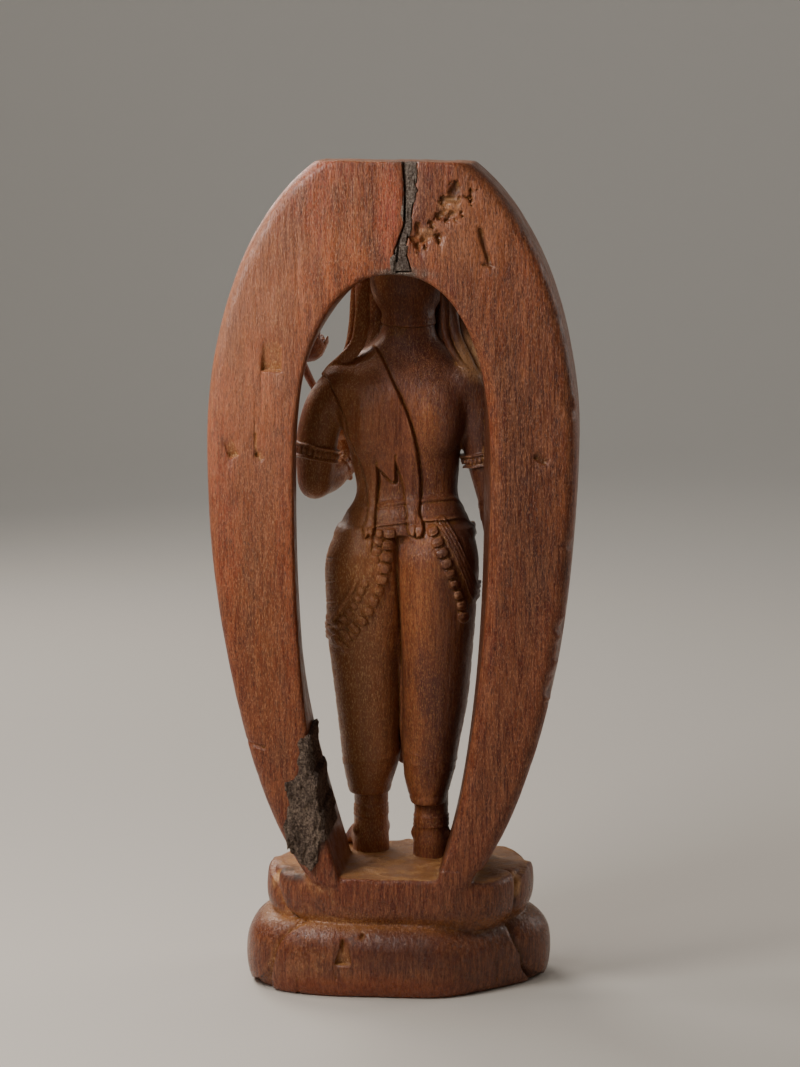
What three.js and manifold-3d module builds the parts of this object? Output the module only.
import * as THREE from "three";
import { mergeVertices } from "three/addons/utils/BufferGeometryUtils.js";
import Module from "manifold-3d";

const wasm = await Module();
wasm.setup();

// Frame of the part, in millimetres: X to the figure's own left, -Y the way the figure faces, Z up,
// with the origin on the ground under the middle of the whole.

// Overall sizes
const TOTAL_HEIGHT = 600;
const TO_MIDDLE = [-1, -0.5, 0];
const TOP_CUT_HALF_WIDTH = 53;
const TOP_CUT_FALL = 1.4;

// Almond-shaped frame behind the figure
const FRAME_BACK_Y = 62;
const FRAME_FRONT_Y = -10;
const FRAME_FOOT_FRONT_Y = -21;
const FRAME_OUTER_HALF_WIDTH = 131.8;
const FRAME_OUTER_CENTRE_X = 1;
const FRAME_OUTER_CENTRE_Z = 400;
const FRAME_OUTER_RISE = 218.6;
const FRAME_OUTER_DROP = 355;
const FRAME_INNER_HALF_WIDTH = 70;
const FRAME_INNER_CENTRE_X = -0.5;
const FRAME_INNER_CENTRE_Z = 380;
const FRAME_INNER_RISE = 140.5;
const FRAME_INNER_DROP = 335;
const FRAME_INNER_TOP_POWER = 2.3;
const FRAME_INNER_FOOT_POWER = 2.08;
const FRAME_INNER_FOOT_SHIFT = 3.5;
const FRAME_EDGE = 2.2;
const FRAME_BEVEL = 6.5;
const FRAME_STEPS = 40;

// Double lotus base
const BASE_HALF_WIDTH = 110.7;
const BASE_CENTRE_X = -0.5;
const BASE_BACK_Y = 71;
const BASE_FRONT_Y = -70;
const BASE_GROOVE_Z = 53.4;
const BASE_TOP_Z = 86.7;
const BASE_CORNER_FROM = [-42, 71];
const BASE_CORNER_TO = [-112, 11.5];
const UPPER_HALF_WIDTH = 97;
const UPPER_BACK_Y = 62;
const UPPER_FRONT_Y = -65;
const UPPER_CENTRE_X = -1.9;
const FRONT_PETALS = 5;
const PETAL_FROM = THREE.MathUtils.degToRad(147);
const PETAL_TO = THREE.MathUtils.degToRad(393);
const SIDE_PETAL = THREE.MathUtils.degToRad(49);

// Relief heights on the figure
const SKIN_RELIEF = 2.2;
const BELT_RELIEF = 2.6;
const HEM_RELIEF = 1.6;
const BEAD_RADIUS = 3.6;

// Body sections, from the belt to the neck: height, right, left, front, back and squareness
const TORSO = [
  [328, -53, 47.5, -50, 4, 2.5],
  [341, -47, 41, -48, 0, 2.5],
  [352, -42, 34.5, -46, -4, 2.4],
  [376, -42, 36, -48, -4, 2.4],
  [396, -43.2, 40.9, -52, 0, 2.5],
  [410, -46, 44, -54, 2, 2.6],
  [425, -54, 51, -53, 2, 2.6],
  [438, -59, 54.5, -49, 0, 2.6],
  [447, -52, 46.5, -44, -4, 2.4],
  [455, -42, 36, -40, -8, 2.2],
  [463, -33, 25.5, -39, -11, 2.1],
  [474, -24, 14, -38, -13, 2],
  [490, -24, 14, -40, -14, 2],
];
const LEFT_LEG = [
  [331, -8, 46.5, -49, 2, 2.4],
  [312, -8, 55, -52, 6, 2.4],
  [276, -5, 55.8, -51, 5, 2.4],
  [246, -1, 54.4, -50, 1, 2.4],
  [216, 1.2, 50.8, -49, -1, 2.4],
  [180, 1.5, 46.8, -49, -4, 2.4],
  [154, 2.6, 44, -50, -7, 2.4],
  [141, 7, 41.6, -49, -10, 2.3],
  [131, 10.4, 38.6, -47, -13, 2.3],
];
const RIGHT_LEG = [
  [331, -53.5, 6, -49, 2, 2.4],
  [311, -56.4, 6, -50, 8, 2.4],
  [270, -55, 4, -48, 8, 2.4],
  [233, -52.2, 1.6, -45, 6, 2.4],
  [203, -49.3, 1, -43, 5, 2.4],
  [172, -43.5, 0.6, -41, 4, 2.4],
  [152, -40, -1.4, -40, 3, 2.4],
  [138, -36, -4.6, -38, 2, 2.3],
  [127, -32.4, -8.5, -36, 1, 2.3],
];
const HEAD = [
  [478, -11, 4, -59, -40, 2],
  [483, -18, 11, -63, -24, 2.1],
  [491, -25, 18, -62, -16, 2.1],
  [502, -29.5, 22.5, -61.5, -13, 2.1],
  [521, -31, 24, -61, -8, 2.1],
  [535, -28.5, 21.5, -57, -6, 2.1],
  [544, -22, 15, -50, -8, 2],
];
const TOPKNOT = [
  [538, -21, 14, -47, -6, 2],
  [548, -17.5, 10.5, -43.5, -6, 2],
  [570, -18.5, 11.5, -44, -6, 2.2],
  [579, -14, 7, -40, -6, 2],
  [585, -8, 1, -34, -6, 2],
];

// Solids

// A closed mesh with its shared vertices merged, as a solid that can be joined and cut.
function solidOf(geometry) {
  geometry.deleteAttribute("normal");
  geometry.deleteAttribute("uv");
  const merged = mergeVertices(geometry, 1e-4);
  const made = new wasm.Manifold(
    new wasm.Mesh({
      numProp: 3,
      vertProperties: new Float32Array(merged.attributes.position.array),
      triVerts: new Uint32Array(merged.index.array),
    }),
  );
  return made;
}

// A solid through rings of equal length, closed by a fan at each end.
function loft(rings) {
  const count = rings[0].length;
  const points = rings.flat().map((p) => [p.x, p.y, p.z]);
  const faces = [];
  for (let i = 0; i + 1 < rings.length; i++)
    for (let j = 0; j < count; j++) {
      const a = i * count + j;
      const b = i * count + ((j + 1) % count);
      faces.push(a, b, b + count, a, b + count, a + count);
    }
  for (const [first, flip] of [
    [0, true],
    [(rings.length - 1) * count, false],
  ]) {
    const middle = new THREE.Vector3();
    for (let j = 0; j < count; j++) middle.add(new THREE.Vector3(...points[first + j]));
    middle.divideScalar(count);
    points.push([middle.x, middle.y, middle.z]);
    for (let j = 0; j < count; j++) {
      const a = first + j;
      const b = first + ((j + 1) % count);
      faces.push(points.length - 1, flip ? b : a, flip ? a : b);
    }
  }
  const build = (order) =>
    new wasm.Manifold(
      new wasm.Mesh({
        numProp: 3,
        vertProperties: new Float32Array(points.flat()),
        triVerts: new Uint32Array(order),
      }),
    );
  const made = build(faces);
  if (made.volume() > 0) return made;
  for (let i = 0; i < faces.length; i += 3) [faces[i], faces[i + 1]] = [faces[i + 1], faces[i]];
  return build(faces);
}

const joinAll = (solids) => solids.reduce((all, one) => all.add(one));

const signedPower = (value, power) => Math.sign(value) * Math.abs(value) ** power;

const smooth = (from, to, value) => THREE.MathUtils.smoothstep(value, from, to);

// One horizontal section as a ring, grown by a relief height.
function sectionRing([z, right, left, front, back, power], count, grow = 0) {
  const ring = [];
  for (let i = 0; i < count; i++) {
    const a = (i / count) * 2 * Math.PI;
    const across = (left - right) / 2 + grow;
    const deep = (back - front) / 2 + grow;
    const x = (left + right) / 2 + across * signedPower(Math.cos(a), 2 / power);
    const y = (front + back) / 2 + deep * signedPower(Math.sin(a), 2 / power);
    ring.push(new THREE.Vector3(x, y, z));
  }
  return ring;
}

const body = (stations, count, grow = 0) => loft(stations.map((s) => sectionRing(s, count, grow)));

// The section of a set of stations at a height.
function stationAt(stations, z) {
  const rising = [...stations].sort((a, b) => a[0] - b[0]);
  const at = Math.min(Math.max(z, rising[0][0]), rising[rising.length - 1][0]);
  const i = Math.max(1, rising.findIndex((s) => s[0] >= at));
  const t = (at - rising[i - 1][0]) / (rising[i][0] - rising[i - 1][0]);
  return rising[i].map((v, k) => THREE.MathUtils.lerp(rising[i - 1][k], v, t));
}

// How far back, or forward, the carved body reaches at a point of its outline.
function surfaceY(sets, x, z, side) {
  let best = -side * 1e3;
  for (const stations of sets) {
    const [, right, left, front, back, power] = stationAt(stations, z);
    const u = Math.abs((x - (left + right) / 2) / ((left - right) / 2));
    if (u >= 1) continue;
    const y = (front + back) / 2 + (side * (back - front) / 2) * (1 - u ** power) ** (1 / power);
    best = side > 0 ? Math.max(best, y) : Math.min(best, y);
  }
  return best;
}

// A limb, band or stem along a smooth path: points [x, y, z, radius across, radius deep].
function limb(path, steps, count, reference = [0, 1, 0]) {
  const curve = new THREE.CatmullRomCurve3(path.map((p) => new THREE.Vector3(p[0], p[1], p[2])));
  const sizes = new THREE.CatmullRomCurve3(path.map((p) => new THREE.Vector3(p[3], p[4], 0)));
  const rings = [];
  for (let i = 0; i <= steps; i++) {
    const t = i / steps;
    const middle = curve.getPoint(t);
    const along = curve.getTangent(t);
    const across = new THREE.Vector3().crossVectors(along, new THREE.Vector3(...reference)).normalize();
    const deep = new THREE.Vector3().crossVectors(across, along).normalize();
    const size = sizes.getPoint(t);
    const ring = [];
    for (let j = 0; j < count; j++) {
      const a = (j / count) * 2 * Math.PI;
      ring.push(
        middle
          .clone()
          .addScaledVector(across, size.x * Math.cos(a))
          .addScaledVector(deep, size.y * Math.sin(a)),
      );
    }
    rings.push(ring);
  }
  return loft(rings);
}

// A flat outline in X and Z, made as thick as the span between two depths.
function plate(shape, fromY, toY, curveSegments = 6) {
  const geometry = new THREE.ExtrudeGeometry(shape, {
    depth: toY - fromY,
    bevelEnabled: false,
    curveSegments,
  });
  geometry.rotateX(Math.PI / 2);
  geometry.translate(0, toY, 0);
  return solidOf(geometry);
}

function block(sizeX, sizeY, sizeZ, [x, y, z], [turnX, turnY, turnZ] = [0, 0, 0]) {
  const geometry = new THREE.BoxGeometry(sizeX, sizeY, sizeZ);
  geometry.applyMatrix4(new THREE.Matrix4().makeRotationFromEuler(new THREE.Euler(turnX, turnY, turnZ)));
  geometry.translate(x, y, z);
  return solidOf(geometry);
}

function bead([x, y, z], radius, detail = 0) {
  const geometry = new THREE.OctahedronGeometry(radius, detail);
  geometry.translate(x, y, z);
  return solidOf(geometry);
}

// Frame behind the figure

function frameOuter(angle) {
  const reach = Math.sin(angle) > 0 ? FRAME_OUTER_RISE : FRAME_OUTER_DROP;
  return [
    FRAME_OUTER_CENTRE_X + FRAME_OUTER_HALF_WIDTH * Math.cos(angle),
    FRAME_OUTER_CENTRE_Z + reach * Math.sin(angle),
  ];
}

// The walls of the opening lean: inwards to the front on the figure's right, outwards on the left.
function frameInner(angle, frontness) {
  const high = Math.sin(angle) > 0;
  const power = high ? FRAME_INNER_TOP_POWER : FRAME_INNER_FOOT_POWER;
  const reach = high ? FRAME_INNER_RISE : FRAME_INNER_DROP;
  const z = FRAME_INNER_CENTRE_Z + reach * signedPower(Math.sin(angle), 2 / power);
  const low = 1 - smooth(87, FRAME_INNER_CENTRE_Z, z);
  const middle = 1 - Math.abs(Math.sin(angle));
  const leftLean = high ? 1 - 7.5 * smooth(0, 0.6, middle) : THREE.MathUtils.lerp(2.7, -6.5, smooth(95, 250, z));
  const narrow = Math.cos(angle) < 0 ? 9 * middle + 1 : leftLean;
  const half = FRAME_INNER_HALF_WIDTH - frontness * narrow;
  const x = FRAME_INNER_CENTRE_X + FRAME_INNER_FOOT_SHIFT * low + half * signedPower(Math.cos(angle), 2 / power);
  return [x, z - (high ? frontness * 3 * Math.sin(angle) : 0)];
}

function frameSection(angle) {
  const [ox, oz] = frameOuter(angle);
  const [ix, iz] = frameInner(angle, 0);
  const [fx, fz] = frameInner(angle, 1);
  const width = Math.hypot(ox - ix, oz - iz);
  const front = THREE.MathUtils.lerp(FRAME_FOOT_FRONT_Y, FRAME_FRONT_Y, smooth(95, 210, oz));
  const bevel = Math.cos(angle) < -0.2 ? FRAME_BEVEL : FRAME_EDGE;
  const between = (a, b, t, y) => new THREE.Vector3(a[0] + (b[0] - a[0]) * t, y, a[1] + (b[1] - a[1]) * t);
  const inner = [ix, iz];
  const outer = [ox, oz];
  const narrow = [fx, fz];
  return [
    between(inner, outer, bevel / width, FRAME_BACK_Y),
    between(inner, outer, 1 - FRAME_EDGE / width, FRAME_BACK_Y),
    between(inner, outer, 1, FRAME_BACK_Y - FRAME_EDGE),
    between(narrow, outer, 1, front + FRAME_EDGE),
    between(narrow, outer, 1 - FRAME_EDGE / width, front),
    between(narrow, outer, FRAME_EDGE / width, front),
    between(narrow, outer, 0, front + FRAME_EDGE),
    between(inner, outer, 0, FRAME_BACK_Y - bevel),
  ];
}

function frame() {
  const from = THREE.MathUtils.degToRad(-73.5);
  const rings = [];
  for (let i = 0; i <= FRAME_STEPS; i++)
    rings.push(frameSection(from + ((Math.PI - 2 * from) * i) / FRAME_STEPS));
  const slope = Math.atan2(TOP_CUT_FALL, 2 * TOP_CUT_HALF_WIDTH);
  const above = block(400, 200, 60, [0, 26, TOTAL_HEIGHT + 30 - TOP_CUT_FALL / 2], [0, -slope, 0]);
  return loft(rings).subtract(above);
}

// Double lotus base

// Distance from the middle of the base to its plain outline in one direction.
function planRadius(angle, halfWidth, backY, frontY, cornerFrom, cornerTo) {
  const c = Math.cos(angle);
  const s = Math.sin(angle);
  const deep = s > 0 ? backY : -frontY;
  const power = s > 0 ? 3.3 : 2.35;
  let r = (Math.abs(c / halfWidth) ** power + Math.abs(s / deep) ** power) ** (-1 / power);
  const nx = -(cornerFrom[1] - cornerTo[1]);
  const ny = cornerFrom[0] - cornerTo[0];
  const facing = nx * c + ny * s;
  if (facing <= 0) return r;
  const line = (nx * cornerTo[0] + ny * cornerTo[1]) / facing;
  return (r ** -14 + line ** -14) ** (-1 / 14);
}

// Petals stand out between grooves round the front and the sides; the back is plain.
function petalDrop(angle, open, grooveDepth, tipDepth) {
  const full = (angle + 4 * Math.PI) % (2 * Math.PI);
  const turned = full < PETAL_FROM - 0.6 ? full + 2 * Math.PI : full;
  if (turned < PETAL_FROM || turned > PETAL_TO) {
    const outside = Math.min(Math.abs(turned - PETAL_FROM), Math.abs(turned - PETAL_TO));
    return grooveDepth * Math.max(0, 1 - outside * 9);
  }
  const fromSide = Math.min(turned - PETAL_FROM, PETAL_TO - turned);
  const frontSpan = (PETAL_TO - PETAL_FROM - 2 * SIDE_PETAL) / FRONT_PETALS;
  const at = fromSide < SIDE_PETAL ? fromSide / SIDE_PETAL : (turned - PETAL_FROM - SIDE_PETAL) / frontSpan;
  const u = Math.abs(2 * (at - Math.floor(at)) - 1);
  return THREE.MathUtils.lerp(grooveDepth, tipDepth, open) * u ** 5;
}

function tier(levels, halfWidth, backY, frontY, corner, count) {
  const rings = levels.map(([z, inset, open]) => {
    const ring = [];
    for (let i = 0; i < count; i++) {
      const a = (i / count) * 2 * Math.PI;
      const r = planRadius(a, halfWidth, backY, frontY, corner[0], corner[1]);
      const shrunk = r - inset - petalDrop(a, open, 2.5, 5.5);
      ring.push(new THREE.Vector3(shrunk * Math.cos(a), shrunk * Math.sin(a), z));
    }
    return ring;
  });
  return loft(rings);
}

function base() {
  const lower = tier(
    [
      [0, 5, 1],
      [6, 1.8, 0.9],
      [22, 0, 0.4],
      [37, 2.2, 0.1],
      [47, 8.5, 0],
      [BASE_GROOVE_Z, 19, 0],
    ],
    BASE_HALF_WIDTH,
    BASE_BACK_Y,
    BASE_FRONT_Y,
    [BASE_CORNER_FROM, BASE_CORNER_TO],
    60,
  );
  const upper = tier(
    [
      [48, 8, 0],
      [BASE_GROOVE_Z, 4.2, 0],
      [60, 0.8, 0.1],
      [74, 0, 0.5],
      [82.5, 0.8, 0.9],
      [BASE_TOP_Z, 4.5, 1],
    ],
    UPPER_HALF_WIDTH,
    UPPER_BACK_Y,
    UPPER_FRONT_Y,
    [[-72, 62], [-97, 20]],
    60,
  );
  return lower.translate([BASE_CENTRE_X, 0, 0]).add(upper.translate([UPPER_CENTRE_X, 0, 0]));
}

// Figure

function legs() {
  const ankleLeft = limb([[23.5, -31, 150, 13, 14], [23.5, -31, 132, 12, 13], [23.8, -31, 112, 12, 13.5],
    [24.2, -31, 97, 12.8, 14.5], [24.4, -30.5, 84, 13.4, 14]], 4, 9, [1, 0, 0]);
  const ankleRight = limb([[-22.5, -17, 150, 13, 14], [-22.4, -17, 130, 12, 13], [-22.4, -17, 112, 12, 13.5],
    [-22, -17, 97, 13, 14.5], [-21.8, -16.5, 84, 13.6, 14]], 4, 9, [1, 0, 0]);
  const footLeft = limb([[22, -20, 93, 10, 9], [27, -34, 94, 12, 10], [34, -48, 91, 13, 7.5],
    [40.5, -60.5, 89.2, 10.5, 4.6]], 4, 8, [0, 0, 1]);
  const footRight = limb([[-22, -6, 93, 10, 9], [-22.5, -24, 94, 12, 10], [-24, -40, 91, 12.6, 7.5],
    [-26, -56, 89.2, 10.5, 4.6]], 4, 8, [0, 0, 1]);
  return joinAll([body(LEFT_LEG, 14), body(RIGHT_LEG, 14), ankleLeft, ankleRight, footLeft, footRight]);
}

function leftArm() {
  const upper = limb([[46, -20, 440, 14, 14], [56, -22, 424, 14.5, 15], [61.5, -24, 400, 14.6, 15],
    [63.5, -25, 376, 14, 13.5], [65, -26, 362, 11.5, 12]], 6, 9);
  const fore = limb([[63, -21, 366, 10, 10.5], [60, -32, 364, 11, 11], [52, -47, 367, 10, 10],
    [46, -57, 374, 7.5, 8]], 5, 9, [0, 0, 1]);
  const hand = limb([[46, -56, 373, 6.5, 7.5], [45, -61, 382, 8.5, 6.5], [46, -62, 393, 8.5, 5.5],
    [49, -60, 401, 5, 4]], 4, 8);
  const stem = limb([[42, -62, 352, 2.6, 2.6], [45, -66, 378, 3, 3], [54, -62, 408, 3, 3],
    [69, -50, 432, 3, 3], [74, -38, 450, 3.4, 3.4]], 6, 6);
  return joinAll([upper, fore, hand, stem]);
}

function rightArm() {
  const upper = limb([[-48, -20, 440, 14, 14], [-55, -22, 424, 14.5, 15], [-58, -23, 400, 14, 15],
    [-63, -24, 376, 13, 13.5], [-67, -24, 358, 11.5, 12]], 6, 9);
  const fore = limb([[-66, -23, 368, 11.5, 12], [-69, -25, 348, 12, 12.5], [-73, -29, 318, 10, 10],
    [-76, -33, 296, 7.4, 7.4]], 5, 9);
  const hand = limb([[-76, -33, 300, 7, 6.5], [-77, -36, 286, 9.5, 5.5], [-78, -38, 270, 10, 5],
    [-79, -37, 252, 8, 4], [-79.5, -35, 240, 4, 3]], 5, 8);
  return joinAll([upper, fore, hand]);
}

// Open lotus beside the figure's left shoulder, with a ring of petals round its seed head.
function lotus() {
  const centre = [76, -36, 463];
  const parts = [bead([centre[0], centre[1], centre[2] - 4], 12, 0)];
  const petals = 5;
  for (let i = 0; i < petals; i++) {
    const a = (i / petals) * 2 * Math.PI + 0.3;
    const out = [Math.cos(a), Math.sin(a)];
    const at = (r, rise) => [centre[0] + out[0] * r, centre[1] + out[1] * r, centre[2] + rise];
    parts.push(
      limb([[...at(3, -12), 4, 4], [...at(13, -9), 8.4, 3], [...at(19, 1), 8, 2.4], [...at(21, 12), 2, 1.4]],
        3, 6, [out[0], out[1], 0.001]),
    );
  }
  return joinAll(parts);
}

function head() {
  const nose = limb([[-3.5, -60, 519, 2, 2], [-3.5, -63, 511, 2.6, 3], [-3.5, -64, 504, 4.6, 3.4],
    [-3.5, -61, 500, 3, 2]], 3, 6);
  const ear = (x, lean) =>
    limb([[x, -32, 520, 3, 5], [x + lean, -32, 508, 3.4, 5], [x + 1.4 * lean, -33, 494, 2.6, 4],
      [x + 1.2 * lean, -33, 484, 3, 4]], 3, 6, [1, 0, 0]);
  const earring = (x) => limb([[x - 3, -34, 484, 6.5, 6.5], [x + 3, -34, 484, 6.5, 6.5]], 1, 8, [0, 0, 1]);
  return joinAll([
    body(HEAD, 16),
    body(TOPKNOT, 10),
    nose,
    ear(25, 1.6),
    ear(-32, -1.6),
    earring(27.5),
    earring(-34.5),
  ]);
}

// Crown of one band and five leaves, tallest in front.
function crown() {
  const band = body([[528, -33, 26, -63, -8, 2.1], [535, -31.6, 24.6, -61.6, -8, 2.1]], 16);
  const parts = [band];
  for (let i = -2; i <= 2; i++) {
    const a = THREE.MathUtils.degToRad(-90 + 36 * i);
    const tall = 26 - 5 * Math.abs(i);
    const half = 8 - 1.1 * Math.abs(i);
    const x = -3.5 + 26.5 * Math.cos(a);
    const y = -35 + 25 * Math.sin(a);
    const leaf = (z, width) => [x * 1 - 0.1 * (z - 532) * Math.cos(a), y - 0.1 * (z - 532) * Math.sin(a), z, width, 2.6];
    parts.push(
      limb([leaf(530, half * 0.8), leaf(532 + tall * 0.35, half), leaf(532 + tall * 0.7, half * 0.72),
        leaf(532 + tall, 0.8)], 3, 6, [Math.cos(a), Math.sin(a), 0.001]),
    );
  }
  return joinAll(parts);
}

// Hair ribbons that fall from behind the ears on to the shoulders.
function ribbons() {
  const left = limb([[25, -20, 522, 5.2, 3], [27.5, -17, 500, 6, 3], [26.5, -14, 478, 6.4, 3],
    [31, -13, 463, 6.4, 3], [42, -15, 453, 6, 3.4], [55, -18, 444, 4.5, 3]], 7, 5);
  const right = limb([[-31, -20, 520, 5.2, 3], [-33.5, -17, 500, 5.6, 3], [-34.5, -14, 482, 6, 3],
    [-40, -12, 466, 6, 3], [-49, -12, 453, 6, 3.4], [-58, -14, 438, 4, 3]], 7, 5);
  const leftHair = limb([[17, -34, 512, 8, 5], [19, -33, 486, 8, 5], [22, -30, 462, 8, 5]], 3, 5, [0, 1, 0]);
  const rightHair = limb([[-27, -34, 512, 8, 5], [-29, -33, 486, 8, 5], [-33, -28, 462, 8, 5]], 3, 5, [0, 1, 0]);
  return joinAll([left, right, leftHair, rightHair]);
}

// Antelope skin that hangs over the left shoulder, with two legs and a tail on the back.
function skin() {
  const shape = new THREE.Shape();
  shape.moveTo(18, 470);
  shape.bezierCurveTo(4, 440, -13, 408, -15, 364);
  shape.lineTo(-16, 334);
  shape.lineTo(-11.5, 327);
  shape.lineTo(-7.5, 334);
  shape.quadraticCurveTo(-4, 366, 2.6, 381);
  shape.lineTo(4.4, 366);
  shape.quadraticCurveTo(9, 370, 16.5, 377.5);
  shape.lineTo(17.6, 336);
  shape.lineTo(21, 326.5);
  shape.lineTo(24.6, 335);
  shape.quadraticCurveTo(21.5, 366, 36, 396);
  shape.lineTo(43, 412);
  shape.lineTo(52, 440);
  shape.lineTo(48, 470);
  return body(TORSO, 16, SKIN_RELIEF).intersect(plate(shape, -24, 30));
}

// A band that follows the body between two heights.
const hoop = (stations, low, high, count, grow) =>
  loft([sectionRing(stationAt(stations, low), count, grow), sectionRing(stationAt(stations, high), count, grow)]);

function belt() {
  return hoop(TORSO, 343.5, 351, 16, BELT_RELIEF).add(hoop(TORSO, 333, 341, 16, BELT_RELIEF));
}

// Strings of beads and a strap that swing from the belt over each hip.
function garlands() {
  const sets = [LEFT_LEG, RIGHT_LEG, TORSO];
  const parts = [];
  const hang = (from, by, to, count, radius) => {
    const curve = new THREE.QuadraticBezierCurve(
      new THREE.Vector2(...from),
      new THREE.Vector2(...by),
      new THREE.Vector2(...to),
    );
    for (let i = 0; i < count; i++) {
      const p = curve.getPoint(i / (count - 1));
      const y = surfaceY(sets, p.x, p.y, 1);
      parts.push(bead([p.x, y + 0.3, p.y], radius));
    }
    return curve;
  };
  const strap = (curve, width) => {
    const path = [];
    for (let i = 0; i <= 6; i++) {
      const p = curve.getPoint(i / 6);
      path.push([p.x, surfaceY(sets, p.x, p.y, 1), p.y, width, 1.8]);
    }
    parts.push(limb(path, 5, 4));
  };
  hang([8, 328], [7, 287], [37, 256], 9, BEAD_RADIUS);
  hang([-24, 331], [-40, 310], [-48, 264], 7, BEAD_RADIUS);
  const line = (a, b, c) =>
    new THREE.QuadraticBezierCurve(new THREE.Vector2(...a), new THREE.Vector2(...b), new THREE.Vector2(...c));
  strap(line([14, 330], [14, 290], [41, 262]), 2.2);
  strap(line([-32, 338], [-44, 322], [-52, 290]), 2.2);
  return joinAll(parts);
}

// Bands at the hem of each trouser leg, the sash across the left hip and rings above the ankles.
function bands() {
  const parts = [];
  parts.push(hoop(LEFT_LEG, 131.5, 137, 14, HEM_RELIEF));
  parts.push(hoop(RIGHT_LEG, 127.5, 134, 14, HEM_RELIEF));
  parts.push(hoop(LEFT_LEG, 158, 165, 14, HEM_RELIEF));
  const anklet = (x, y, z) =>
    parts.push(limb([[x, y, z + 4, 14, 15], [x, y, z - 4, 14, 15]], 1, 9, [1, 0, 0]));
  anklet(23.7, -31, 120);
  anklet(-22.4, -17, 117);
  const armlet = (x, y, z, lean, radius) =>
    parts.push(limb([[x - lean, y, z + 5, radius, radius + 1], [x + lean, y, z - 5, radius, radius + 1]], 1, 9));
  armlet(61.6, -24.5, 379, 0.6, 15.2);
  armlet(-60, -23.5, 385, -1.6, 15.2);
  const bracelet = (x, y, z, lean) =>
    parts.push(limb([[x - lean, y, z + 4, 9.4, 9.4], [x + lean, y, z - 4, 9.4, 9.4]], 1, 8));
  bracelet(-75, -32, 301, -0.6);
  return joinAll(parts);
}

// Pleated fall of cloth in front, between the legs, and the knot of the belt above it.
function frontFall() {
  const parts = [];
  for (let i = -1; i <= 1; i++)
    parts.push(limb([[-2 + i * 7, -50, 334, 4, 4], [-2 + i * 8, -53, 270, 5, 4.4], [-2 + i * 9, -51, 200, 6, 4.4],
      [-2 + i * 10, -48, 144 + 7 * Math.abs(i), 6.5, 3]], 3, 6));
  parts.push(bead([-3, -50, 342], 11, 0));
  return joinAll(parts);
}

function necklace() {
  const band = limb([[-27, -20, 462, 4, 3], [-24, -42, 450, 5, 3], [-4, -52, 438, 6.5, 3.4], [17, -42, 450, 5, 3],
    [22, -20, 462, 4, 3]], 6, 5, [0, 0, 1]);
  return band;
}

// Dark fillings set in the wood

const crackOutline = (grow) => {
  const shape = new THREE.Shape();
  shape.moveTo(-7.4 + 2.4 * grow, 598.6 + 20 * grow);
  shape.lineTo(-8.8 + grow, 578);
  shape.lineTo(-8.4 + grow, 556);
  shape.lineTo(-1.8 + grow, 537);
  shape.lineTo(-1 + grow, 526 - grow);
  shape.lineTo(-13.4 - grow, 526 - grow);
  shape.lineTo(-9.2 - grow, 538);
  shape.lineTo(-12.8 - grow, 556);
  shape.lineTo(-15.6 - grow, 576);
  shape.lineTo(-17.2 - 2.6 * grow, 598.6 + 20 * grow);
  return shape;
};

// Corners of the patch on the flat back of the leg, with the way each one moves when the outline grows.
const PATCH_CORNERS = [
  [61.6, 190, -1, 1],
  [67.5, 186, 1, 1],
  [69, 162, 1, 1],
  [76, 156, 1, 1],
  [75.4, 140, 1, 0],
  [76, 125, 1, 0],
  [72, 104, 1, -0.3],
  [68, 90.5, 1, -1],
  [60, 90.5, -1, -1],
  [54.4, 97, -1, -1],
  [53.4, 114, -1, -1],
  [49, 117.5, -1, -1],
  [52.2, 128, -1, 0],
  [55.4, 150, -1, 0],
  [58.2, 168, -1, 0],
  [60, 180, -1, 0],
];
const patchOutline = (grow) =>
  new THREE.Shape(PATCH_CORNERS.map(([x, z, across, up]) => new THREE.Vector2(x + across * grow, z + up * grow)));

// The patch goes on round the inner edge of the leg, as a skin on the wall of the opening.
const WRAP_HEIGHTS = [116.5, 126, 138, 150, 163, 176];
const WRAP_SHARE = 0.72;
const WRAP_SUNK = 2.6;
function wrapRing(z, grow, proud, backY) {
  const angle = -Math.asin(((FRAME_INNER_CENTRE_Z - z) / FRAME_INNER_DROP) ** (FRAME_INNER_FOOT_POWER / 2));
  const [backX] = frameInner(angle, 0);
  const [deepX] = frameInner(angle, WRAP_SHARE);
  const deepY = FRAME_BACK_Y - WRAP_SHARE * (FRAME_BACK_Y - FRAME_FRONT_Y) - grow;
  const sunk = WRAP_SUNK + grow;
  return [
    new THREE.Vector3(backX - proud, backY, z),
    new THREE.Vector3(backX + sunk, backY, z),
    new THREE.Vector3(deepX + sunk, deepY, z),
    new THREE.Vector3(deepX - proud, deepY, z),
  ];
}
function patchWrap(grow, proud, backY) {
  const last = WRAP_HEIGHTS.length - 1;
  const ends = (i) => (i === 0 ? -grow : i === last ? grow : 0);
  return loft(WRAP_HEIGHTS.map((z, i) => wrapRing(z + ends(i), grow, proud, backY)));
}

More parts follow.
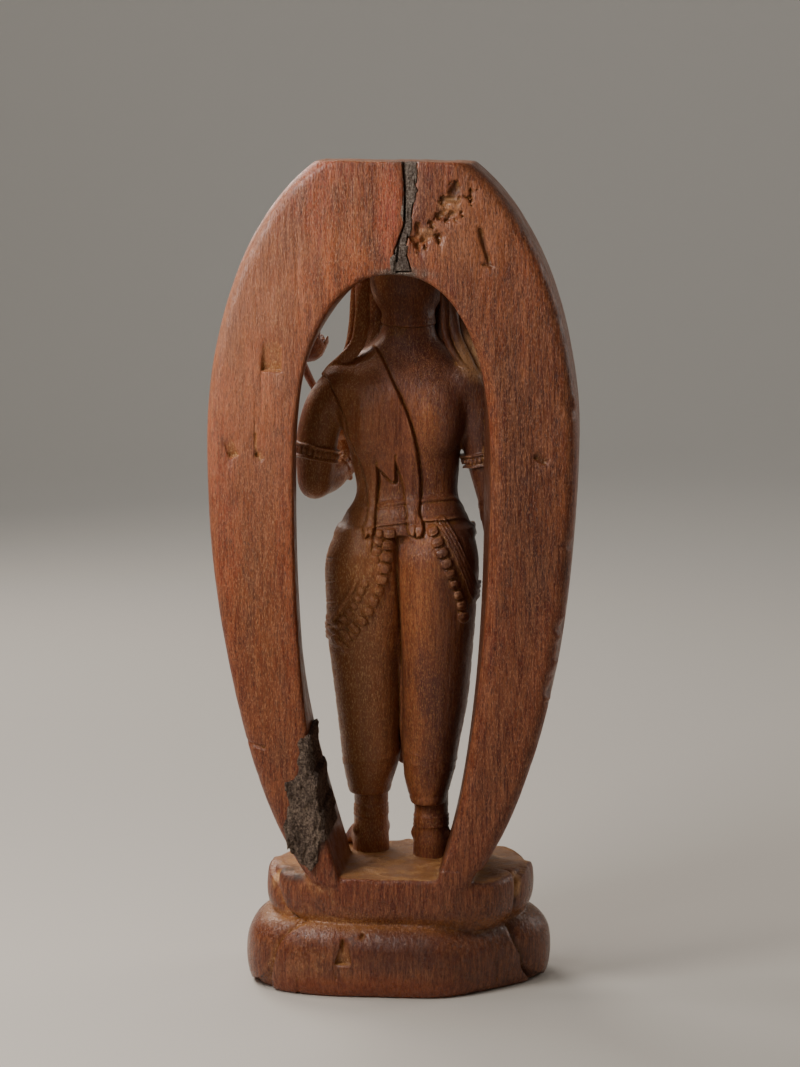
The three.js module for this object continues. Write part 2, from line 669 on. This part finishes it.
const CLEARANCE = 0.35;
const crackFill = () => plate(crackOutline(0), 55, 62.3, 2);
const patchFill = () => plate(patchOutline(0), 59.6, 64.4, 2).add(patchWrap(0, 1.3, 64.2));
const crackBed = () => plate(crackOutline(CLEARANCE), 55 - CLEARANCE, 80, 2);
const patchBed = () => plate(patchOutline(CLEARANCE), 59.6 - CLEARANCE, 80, 2).add(patchWrap(CLEARANCE, 8, 80));

// Chisel cuts and losses on the back
function cuts() {
  const wedge = (x, z, width, height, depth, turn) =>
    block(width, depth * 2, height, [x, FRAME_BACK_Y, z], [0, turn, 0.28]);
  return joinAll([
    wedge(84, 465, 15, 24, 3.5, 0),
    wedge(-37, 562, 11, 26, 2.5, -0.5),
    wedge(-64, 540, 3, 24, 2, 0.25),
    block(11, 8, 18, [34, BASE_BACK_Y + 1, 34], [0, 0.1, 0.3]),
  ]);
}

function figure() {
  return joinAll([
    body(TORSO, 16),
    legs(),
    leftArm(),
    rightArm(),
    lotus(),
    head(),
    crown(),
    ribbons(),
    skin(),
    belt(),
    garlands(),
    bands(),
    frontFall(),
    necklace(),
  ]);
}

// Meshes and materials

const wood = () => new THREE.MeshStandardMaterial({ color: 0x8a4a30, roughness: 0.5, metalness: 0 });
const pitch = () => new THREE.MeshStandardMaterial({ color: 0x2e2625, roughness: 0.85, metalness: 0 });

function meshOf(name, solid, material) {
  const { vertProperties, triVerts } = solid.getMesh();
  const geometry = new THREE.BufferGeometry();
  geometry.setAttribute("position", new THREE.BufferAttribute(new Float32Array(vertProperties), 3));
  geometry.setIndex(new THREE.BufferAttribute(new Uint32Array(triVerts), 1));
  const mesh = new THREE.Mesh(geometry, material);
  mesh.name = name;
  return mesh;
}

// The outer shell of a solid, so that small hollows closed in between joined forms are filled.
function filled(solid) {
  const shells = solid.decompose();
  return shells.reduce((most, one) => (one.volume() > most.volume() ? one : most));
}

const carving = filled(
  joinAll([frame(), base(), figure()])
    .subtract(cuts())
    .subtract(crackBed())
    .subtract(patchBed()),
);

const statue = new THREE.Group();
statue.position.set(...TO_MIDDLE);
statue.add(meshOf("avalokiteshvara_figure", carving, wood()));
statue.add(meshOf("crack_filling", crackFill(), pitch()));
statue.add(meshOf("leg_patch", patchFill(), pitch()));

export default statue;
